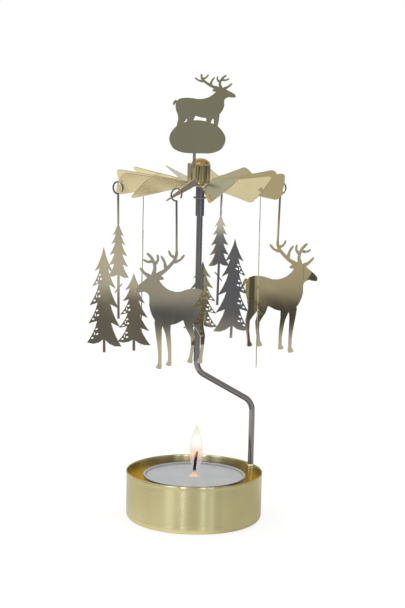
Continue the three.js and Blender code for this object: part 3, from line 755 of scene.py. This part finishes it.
def roundedSheet(loops, thickness, rounding, look):
    rows = []
    for share in shares(look["roundingSteps"]):
        angle = pi / 2 * share
        rows.append((rounding * (1 - sin(angle)), thickness / 2 - rounding * (1 - cos(angle))))
    rows += [(inset, -height) for inset, height in reversed(rows)]
    mesh = bmesh.new()
    for loop in loops:
        rings = [[mesh.verts.new((*point, height)) for point in insetLoop(loop, inset, look)]
                 for inset, height in rows]
        for upper, lower in zip(rings, rings[1:]):
            for side in range(len(loop)):
                after = (side + 1) % len(loop)
                mesh.faces.new((upper[side], lower[side], lower[after], upper[after]))
    points, shapes = [], []
    for loop in loops:
        shape = list(range(len(points), len(points) + len(loop)))
        clockwise = sum(here.cross(after) for here, after in zip(loop, loop[1:] + loop[:1])) < 0
        shapes.append(shape[::-1] if clockwise else shape)
        points += insetLoop(loop, rounding, look)
    spots, _, triangles, _, _, sources = delaunay_2d_cdt(points, [], shapes, 1, look["fillMargin"])
    for height in (thickness / 2, -thickness / 2):
        corners = [mesh.verts.new((*spot, height)) for spot in spots]
        for triangle, source in zip(triangles, sources):
            if len(source) == 1:
                mesh.faces.new([corners[index] for index in triangle])
    bmesh.ops.remove_doubles(mesh, verts=mesh.verts, dist=look["weld"] * mm)
    bmesh.ops.recalc_face_normals(mesh, faces=mesh.faces)
    return mesh


# Takes the roundest edge that leaves the sheet closed
def stampedMesh(loops, thickness, look):
    for rounding in look["roundings"]:
        mesh = roundedSheet(loops, thickness, rounding * mm, look)
        if all(len(edge.link_faces) == 2 for edge in mesh.edges):
            return mesh
        mesh.free()


# A flat node's front outlines, the plane that they lie in and the sheet's thickness
def frontOutlines(node, look):
    mesh = bmesh.new()
    mesh.from_mesh(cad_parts[node].data)
    bmesh.ops.remove_doubles(mesh, verts=mesh.verts, dist=look["solidWeld"] * mm)
    facing = max(mesh.faces, key=lambda face: face.calc_area()).normal.copy()
    across = up.cross(facing).normalized()
    depths = [vert.co.dot(facing) for vert in mesh.verts]
    middle = (max(depths) + min(depths)) / 2
    plane = Matrix((across, up, facing)).transposed().to_4x4()
    plane.translation = facing * middle
    front = [face for face in mesh.faces if all(vert.co.dot(facing) > middle for vert in face.verts)]
    known = set(front)
    follows = {}
    for face in front:
        for loop in face.loops:
            if not all(near in known for near in loop.edge.link_faces):
                follows.setdefault(loop.vert, []).append(loop.link_loop_next.vert)
    outlines = []
    for start in list(follows):
        here, outline = start, []
        while follows[here]:
            outline.append(Vector((here.co.dot(across), here.co.dot(up))))
            here = follows[here].pop()
        if outline:
            outlines.append(outline)
    mesh.free()
    return outlines, plane, max(depths) - min(depths)


def tidyOutline(points, look):
    kept = points[:1]
    for point in points[1:]:
        if (point - kept[-1]).length > look["shortestRun"] * mm:
            kept.append(point)
    return [here for here, arriving, leaving, _ in alongLoop(kept)
            if arriving.angle(leaving) > radians(look["leastTurn"])]


def eased(share):
    return share * share * (3 - 2 * share)


# Curves run smoothly through the points, while corners and long straight runs stay as they are
def smoothOutline(points, look):
    points = tidyOutline(points, look)
    bends = alongLoop(points)
    headings = [None if arriving.angle(leaving) > radians(look["cornerAngle"])
                else (arriving + leaving).normalized() for _, arriving, leaving, _ in bends]
    smooth = []
    for index, (here, _, leaving, (_, run)) in enumerate(bends):
        smooth.append(here)
        if run > look["straightRun"] * mm:
            continue
        after = (index + 1) % len(points)
        first, last = ((headings[end] or leaving) * run for end in (index, after))
        for share in shares(look["curveSteps"])[1:-1]:
            bend = share * (1 - share)
            smooth.append(here.lerp(points[after], eased(share)) + first * bend * (1 - share)
                          - last * bend * share)
    return smooth


def addStamped(name, node, body, look):
    outlines, plane, thickness = frontOutlines(node, look)
    mesh = stampedMesh([smoothOutline(outline, look) for outline in outlines], thickness, look)
    mesh.transform(plane)
    return addPiece(name, newMesh(name, mesh), "sheetBrass", body, "brass", node, look["sharpAngle"])


for name in sorted(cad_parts):
    if name.startswith("pendant_"):
        addStamped(name.replace("pendant", "stamped"), name, name, sheetDetail)
topper = addStamped("stamped_topper", "topper", "carousel", sheetDetail)

# Their reflections would patch two of the blades
for piece in (cap, topper):
    piece.visible_glossy = False
print("figures stamped")

# Fan: one blank with twelve blades, each twisted at its root, and a tab bent up behind the topper's stem
fanDetail = dict(
    sheet=0.3, radius=31.5, plateRadius=5.92, plateSteps=2, blades=12, hookBladeStep=2, firstAzimuth=16.4,
    bladeHalfAngle=13.2, twist=39, twistLength=2.8, twistCuts=12, cornerRound=1.6, cornerSteps=8,
    tipSteps=4, capFit=0.13, capSides=96, hookHoleRadius=0.92, hookHoleReach=30.08, hookHoleSides=32,
    stemWidth=1.15, stemOffset=2.4, stemGap=0.3, slotFit=0.13, tabWidth=2.4, tabHeight=7.6,
    tabAzimuth=210, tabRound=0.35, tabSteps=5, rootMargin=1.0001, cutMargin=1e-7,
)


def arc(centre, radius, fromAngle, toAngle, steps):
    angles = [fromAngle + (toAngle - fromAngle) * share for share in shares(steps)]
    return [Vector(centre) + Vector((cos(angle), sin(angle))) * radius for angle in angles]


def bladeAzimuths(look):
    return [radians(look["firstAzimuth"]) + tau * blade / look["blades"] for blade in range(look["blades"])]


def bladeOutline(look):
    half = radians(look["bladeHalfAngle"])
    gap = pi / look["blades"]
    soft = look["cornerRound"]
    reach = look["radius"] - soft
    lean = half - asin(soft / reach)
    right = (arc((0, 0), look["plateRadius"], -gap, -half, look["plateSteps"])
             + arc(heading(-lean).to_2d() * reach, soft, -half - pi / 2, -lean, look["cornerSteps"])
             + arc((0, 0), look["radius"], -lean, 0, look["tipSteps"])[1:])
    return right + [Vector((point.x, -point.y)) for point in right[-2:0:-1]]


def fanOutlines(look):
    outline = []
    holes = [arc((0, 0), capRadius + look["capFit"], tau, 0, look["capSides"])[:-1]]
    for blade, azimuth in enumerate(bladeAzimuths(look)):
        turn = Matrix.Rotation(azimuth, 2)
        outline += [turn @ point for point in bladeOutline(look)]
        if blade % look["hookBladeStep"] == 0:
            hole = arc((look["hookHoleReach"], 0), look["hookHoleRadius"], tau, 0, look["hookHoleSides"])[:-1]
            holes.append([turn @ point for point in hole])
    halfWide, halfDeep = look["stemWidth"] / 2 + look["slotFit"], look["sheet"] / 2 + look["slotFit"]
    middle = Vector((-look["stemOffset"], -capRadius - look["stemGap"] - look["sheet"] / 2))
    corners = ((1, 1), (1, -1), (-1, -1), (-1, 1))
    holes.append([middle + Vector((halfWide * x, halfDeep * y)) for x, y in corners])
    return [[point * mm for point in loop] for loop in [outline, *holes]]


# The vertices of one blade, with their reach along it and across it
def bladeVerts(verts, out, look):
    side = up.cross(out)
    placed = [(vert, vert.co.dot(out), vert.co.dot(side)) for vert in verts]
    root, slope = look["plateRadius"] * mm * look["rootMargin"], tan(pi / look["blades"])
    return [(vert, reach, across) for vert, reach, across in placed
            if reach > root and abs(across) < reach * slope]


# Cuts each blade across its root, so that the twist bends evenly
def twistBlades(mesh, look):
    start, length = look["plateRadius"] * mm, look["twistLength"] * mm
    for azimuth in bladeAzimuths(look):
        out = heading(azimuth)
        for share in shares(look["twistCuts"]):
            blade = {vert for vert, _, _ in bladeVerts(mesh.verts, out, look)}
            faces = [face for face in mesh.faces if not blade.isdisjoint(face.verts)]
            edges = {edge for face in faces for edge in face.edges}
            verts = {vert for face in faces for vert in face.verts}
            bmesh.ops.bisect_plane(mesh, geom=[*faces, *edges, *verts], dist=look["cutMargin"],
                                   plane_co=out * (start + length * share), plane_no=out)
        for vert, reach, across in bladeVerts(mesh.verts, out, look):
            turn = radians(look["twist"]) * eased(min((reach - start) / length, 1))
            raised = across * sin(turn) + vert.co.z * cos(turn)
            flat = across * cos(turn) - vert.co.z * sin(turn)
            vert.co = out * reach + up.cross(out) * flat + up * raised


def makeFan(look):
    sheet = look["sheet"]
    fan = stampedMesh(fanOutlines(look), sheet * mm, sheetDetail)
    twistBlades(fan, look)
    half, soft, top, steps = look["tabWidth"] / 2, look["tabRound"], look["tabHeight"], look["tabSteps"]
    tabLoop = ([Vector((-half, -sheet / 2)), Vector((half, -sheet / 2))]
               + arc((half - soft, top - soft), soft, 0, pi / 2, steps)
               + arc((soft - half, top - soft), soft, pi / 2, pi, steps))
    tab = stampedMesh([[point * mm for point in tabLoop]], sheet * mm, sheetDetail)
    out = heading(radians(look["tabAzimuth"]))
    upright = Matrix((up.cross(out), up, out)).transposed().to_4x4()
    upright.translation = out * (capRadius + look["plateRadius"]) / 2 * mm
    tab.transform(upright)
    tabData = newMesh("fan_tab", tab)
    fan.from_mesh(tabData)
    bpy.data.meshes.remove(tabData)
    fan.transform(Matrix.Translation(up * (flangeTop + capDetail["seatGap"] + sheet / 2) * mm))
    addPiece("fan_bladed", newMesh("fan_bladed", fan), "fanBrass", "carousel", "brass", "fan_disc",
             sheetDetail["sharpAngle"])


makeFan(fanDetail)
print("fan cut and twisted")

# Flame: a teardrop, white inside, pale yellow at its edge and a thin lilac veil round the wick
flameShape = dict(
    width=5.2, height=17.6, footRise=2.6, sideways=0.6, widestShare=0.38, fullness=0.75, rings=44,
    sides=40,
)
flameFoot = waxTop + flameShape["footRise"]
# The spans run over how far a face turns away, or over the share of the flame's height
flameLook = dict(
    core=(1, 1, 0.96), rim=(0.88, 0.88, 0.66), veil=(0.64, 0.54, 0.54), ember=(0.92, 0.62, 0.38),
    coreFacing=(0.62, 0.22), coreTop=(0.92, 0.7), emberFacing=(0.85, 0.3), emberFoot=(0.2, 0.34),
    emberTop=(0.6, 0.35), emberShare=0.85, veilTop=(0.36, 0.18), opaqueFoot=(0.36, 0.56, 0.0, 0.92),
    opaqueBehind=0.8, softEdge=(1.0, 0.6), strength=1.0,
)


def makeFlame(shape):
    foot = Vector((shape["sideways"], 0, flameFoot)) * mm
    power = log(0.5) / log(shape["widestShare"])
    rings = [[foot]]
    for share in shares(shape["rings"])[1:-1]:
        radius = shape["width"] / 2 * sin(pi * share ** power) ** shape["fullness"]
        rings.append([foot + point for point in circle(radius, share * shape["height"], shape["sides"])])
    rings.append([foot + up * shape["height"] * mm])
    addSkinned("candle_flame", rings, "flameGlow", "tealight").visible_shadow = False


def makeFlameMaterial(look, shape):
    nodes = newMaterial("flameGlow")
    share = nodes.spanMm(nodes.parts()["Z"], flameFoot, flameFoot + shape["height"], 0.0, 1.0, "LINEAR")
    facing = nodes.add("LayerWeight", Blend=0.5)["Facing"]
    core = nodes.times(nodes.span(facing, *look["coreFacing"]), nodes.span(share, *look["coreTop"]))
    warm = nodes.mix(core, look["rim"], look["core"])
    ember = nodes.times(nodes.span(facing, *look["emberFacing"]), nodes.span(share, *look["emberFoot"]),
                        nodes.span(share, *look["emberTop"]), look["emberShare"])
    glowing = nodes.mix(ember, warm, look["ember"])
    colour = nodes.mix(nodes.span(share, *look["veilTop"]), glowing, look["veil"])
    behind = nodes.times(nodes.add("NewGeometry")["Backfacing"], look["opaqueBehind"])
    thick = nodes.maths("MAXIMUM", nodes.span(share, *look["opaqueFoot"]), behind)
    alpha = nodes.times(thick, nodes.span(facing, *look["softEdge"]))
    nodes.feed(nodes.shader, Emission_Color=colour, Emission_Strength=look["strength"], Alpha=alpha,
               Base_Color=(0, 0, 0), Specular_IOR_Level=0, Roughness=1)


makeFlameMaterial(flameLook, flameShape)
makeFlame(flameShape)
print("flame lit")

# Floor: white, with the soft shadow. Glossy rays see painted light and shade on it instead: the tables run
# across it, in mm, with a lighter patch painted behind the cup and a painted glow round its foot
floorLook = dict(
    radius=300, sides=96, color=(0.3, 0.3, 0.3), glow=(0.75, 0.75, 0.75),
    paintedMirrorShades=[
        (-75, 0.55), (-45, 0.66), (-32, 0.82), (-20, 0.74), (-8, 0.48), (0, 0.46), (10, 0.5), (25, 0.56),
        (37, 0.44), (60, 0.4),
    ],
    reach=200, behind=(0.72, 0.72, 0.72), behindFrom=(20, 40),
    paintedFootGlow=[(-200, 0.76), (-20, 0.91), (-8, 1.0), (3, 0.96), (14, 0.46), (200, 0.32)], footReach=33,
)


def makeFloor(look):
    mesh = bmesh.new()
    bmesh.ops.create_circle(mesh, cap_ends=True, segments=look["sides"], radius=look["radius"] * mm)
    data = newMesh("studio_floor", mesh)
    nodes = newMaterial("floorWhite")
    nodes.tree.nodes.remove(nodes.shader)
    parts = nodes.parts()
    across = nodes.times(parts["X"], 1 / mm)
    front, atFoot = (nodes.rampOver(across, look[table], look["reach"]) for table in ("paintedMirrorShades", "paintedFootGlow"))
    paintedMirrorShades = nodes.mix(nodes.spanMm(parts["Y"], *look["behindFrom"]), front, look["behind"])
    footed = nodes.mix(nodes.spanMm(nodes.flatReach(), look["footReach"], cupRadius), paintedMirrorShades, atFoot)
    path = nodes.add("LightPath")
    # Reflections see the painted light and shade, the camera sees plain white
    colour = nodes.mix(path["Is Glossy Ray"], look["glow"], footed)
    seen = nodes.maths("SUBTRACT", 1.0, path["Is Diffuse Ray"])
    matt = nodes.add("BsdfDiffuse", Color=look["color"])[0]
    glow = nodes.add("Emission", Color=colour, Strength=seen)[0]
    nodes.feed(nodes.tree.nodes["Material Output"], Surface=nodes.add("AddShader", n0=matt, n1=glow)[0])
    data.materials.append(materials["floorWhite"])
    addObject("studio_floor", data)


makeFloor(floorLook)

# World: a pale studio with darker gaps between its lights; past the white table lies its dark far edge.
# Each table runs over the azimuth in degrees, 0 towards the camera and 90 to the right
studioLook = dict(
    walls=[
        (-180, (0.6, 0.68, 0.66)), (-163, (0.5, 0.58, 0.56)), (-161, (0.3, 0.31, 0.28)),
        (-150, (0.5, 0.48, 0.42)), (-135, 0.9), (-120, 0.62), (-100, 0.66), (-86, 0.2), (-77, 0.2),
        (-73, 0.66), (-40, 0.66), (-34, 0.22), (-25, 0.22), (-20, 0.6), (32, 0.6), (37, 0.2), (47, 0.2),
        (50, 0.85), (60, 0.75), (66, 0.55), (100, 0.62), (140, 0.6), (158, (0.72, 0.72, 0.62)),
        (170, (0.72, 0.72, 0.62)), (180, (0.6, 0.68, 0.66)),
    ],
    wallsEdge=(-0.5, 1.5),
    skirting=[
        (-180, 0.5), (-100, 0.4), (-66, 0.33), (-57, 0.27), (-20, 0.24), (-16, 0.05), (-7, 0.05), (-3, 0.25),
        (8, 0.28), (28, 0.26), (50, 0.24), (57, 0.04), (70, 0.04), (77, 0.14), (92, 0.25), (108, 0.17),
        (118, 0.17), (125, 0.45), (180, 0.6),
    ],
    ceiling=[
        (-180, 0.7), (-165, 0.84), (-140, 0.9), (-60, 0.96), (-25, 0.96), (10, 0.6), (60, 0.55), (80, 0.28),
        (115, 0.3), (135, 0.56), (150, 0.58), (180, 0.7),
    ],
    ceilingEdge=(14, 34), zenith=(0.54, 0.52, 0.48), zenithEdge=(49, 56), dark=(0.125, 0.135, 0.21),
    darkTop=[(-50, -4.2), (-40, -4.8), (40, -4.8), (48, -4.2)], darkEdge=(-0.1, 0.1),
    farTable=[
        (-180, 0.66), (-66, (0.62, 0.62, 0.63)), (-61, (0.54, 0.49, 0.42)), (-50, (0.54, 0.49, 0.42)),
        (-30, 0.7), (40, (0.85, 0.85, 0.87)), (59, (0.78, 0.77, 0.9)), (64, (0.44, 0.43, 0.47)),
        (90, (0.46, 0.45, 0.48)), (180, 0.66),
    ],
    farTop=[
        (-62, -5.75), (-54, -6.2), (-20, -6.2), (46, -5.5), (60, -5.5), (66, -6.6), (180, -6.2),
    ],
    farTableEdge=(-0.15, 0.15),
    gap=[
        (-180, (0.15, 0.155, 0.19)), (-75, (0.17, 0.155, 0.175)), (-65, (0.17, 0.155, 0.175)),
        (-62, (0.06, 0.055, 0.06)), (-50, (0.06, 0.055, 0.06)), (40, (0.135, 0.145, 0.23)),
        (59, (0.14, 0.15, 0.24)), (64, (0.1, 0.11, 0.15)),
    ],
    gapTop=[(-61, -8.5), (40, -8.4), (47, -6.45), (59, -6.45), (64, -8.8)], gapEdge=(-0.3, 0.3),
    gapDepth=[(-66, 2.8), (-61, 1.0), (0, 0.8), (40, 1.0), (47, 3.2), (59, 3.2), (64, 0.85)],
    nearTable=[(-180, (0.66, 0.65, 0.66)), (160, (0.68, 0.66, 0.67)), (166, (0.2, 0.18, 0.17))],
    nearTableEdge=(-0.15, 0.5), cameraSpot=(0.27, 0.28, 0.28), cameraSpotHeight=-2.4,
    cameraSpotEdge=(7.5, 4.5),
)


def heightsOver(nodes, azimuth, table, low=-12, high=4):
    ramp = nodes.rampOver(azimuth, [(angle, (value - low) / (high - low)) for angle, value in table])
    return nodes.span(ramp, 0.0, 1.0, low, high, "LINEAR")


def makeWorld(look):
    world = bpy.data.worlds.new("paleStudio")
    scene.world = world
    world.use_nodes = True
    nodes = Nodes(world.node_tree)
    ray = nodes.add("SeparateXYZ", Vector=nodes.add("TexCoord")["Generated"])
    azimuth = nodes.maths("DEGREES", nodes.maths("ARCTAN2", ray["X"], nodes.times(ray["Y"], -1.0)))
    height = nodes.maths("DEGREES", nodes.maths("ARCSINE", ray["Z"]))
    pastDark, pastFar, pastGap = (
        nodes.maths("SUBTRACT", heightsOver(nodes, azimuth, look[table]), height)
        for table in ("darkTop", "farTop", "gapTop"))
    pastAll = nodes.maths("SUBTRACT", pastGap, heightsOver(nodes, azimuth, look["gapDepth"]))
    fromSpot = nodes.maths("SUBTRACT", height, look["cameraSpotHeight"])
    squared = nodes.maths("MULTIPLY_ADD", azimuth, azimuth, nodes.times(fromSpot, fromSpot))
    offAxis = nodes.maths("SQRT", squared)
    shade = nodes.rampOver(azimuth, look["skirting"])
    for value, layer in ((height, "walls"), (height, "ceiling"), (height, "zenith"), (pastDark, "dark"),
                         (pastFar, "farTable"), (pastGap, "gap"), (pastAll, "nearTable"),
                         (offAxis, "cameraSpot")):
        colour = look[layer]
        if isinstance(colour, list):
            colour = nodes.rampOver(azimuth, colour)
        shade = nodes.mix(nodes.span(value, *look[layer + "Edge"]), shade, colour)
    path = nodes.add("LightPath")
    plain = nodes.maths("MAXIMUM", path["Is Camera Ray"], path["Is Diffuse Ray"])
    nodes.feed(nodes.tree.nodes["Background"], Color=nodes.mix(plain, shade, (1.0, 1.0, 1.0)))


makeWorld(studioLook)

# Lamps: narrow strips that draw the upright lines on the cup, a soft box above and the candle's own light
stripLamp = dict(height=380, distance=900, tall=640, color=(0.8, 0.95, 1.35))
lampTowards = dict(
    stripLeft=dict(**stripLamp, azimuth=-17.5, wide=26, power=0.95),
    stripRight=dict(**stripLamp, azimuth=16.0, wide=28, power=0.8),
    stripWide=dict(**stripLamp, azimuth=-40, wide=240, power=1.1),
    stripFar=dict(**stripLamp, azimuth=30.5, wide=9, power=0.5),
    softTop=dict(height=900, distance=500, tall=500, azimuth=-35, wide=500, power=0.3),
    candleGlow=dict(height=waxTop + 10.5, distance=0.6, azimuth=90, radius=1.6, power=0.004,
                    color=(1, 0.66, 0.34)),
)
lampAim = pointAt(0, 0, 50)
cupOnly = bpy.data.collections.new("cupOnly")
cupOnly.objects.link(cup)


# The coloured lamps light the cup only
def makeLamp(name, lamp):
    data = bpy.data.lights.new(name, "AREA" if "wide" in lamp else "POINT")
    data.energy = lamp["power"]
    light = addObject(name, data)
    light.location = pointAt(lamp["distance"], radians(lamp["azimuth"] - 90), lamp["height"])
    if "color" in lamp:
        data.color = lamp["color"]
        light.light_linking.receiver_collection = cupOnly
    if "radius" in lamp:
        data.shadow_soft_size = lamp["radius"] * mm
        return
    data.shape = "RECTANGLE"
    data.size = lamp["wide"] * mm
    data.size_y = lamp["tall"] * mm
    light.rotation_euler = (lampAim - light.location).to_track_quat("-Z", "Y").to_euler()


for name, lamp in lampTowards.items():
    makeLamp(name, lamp)
print("studio lit")
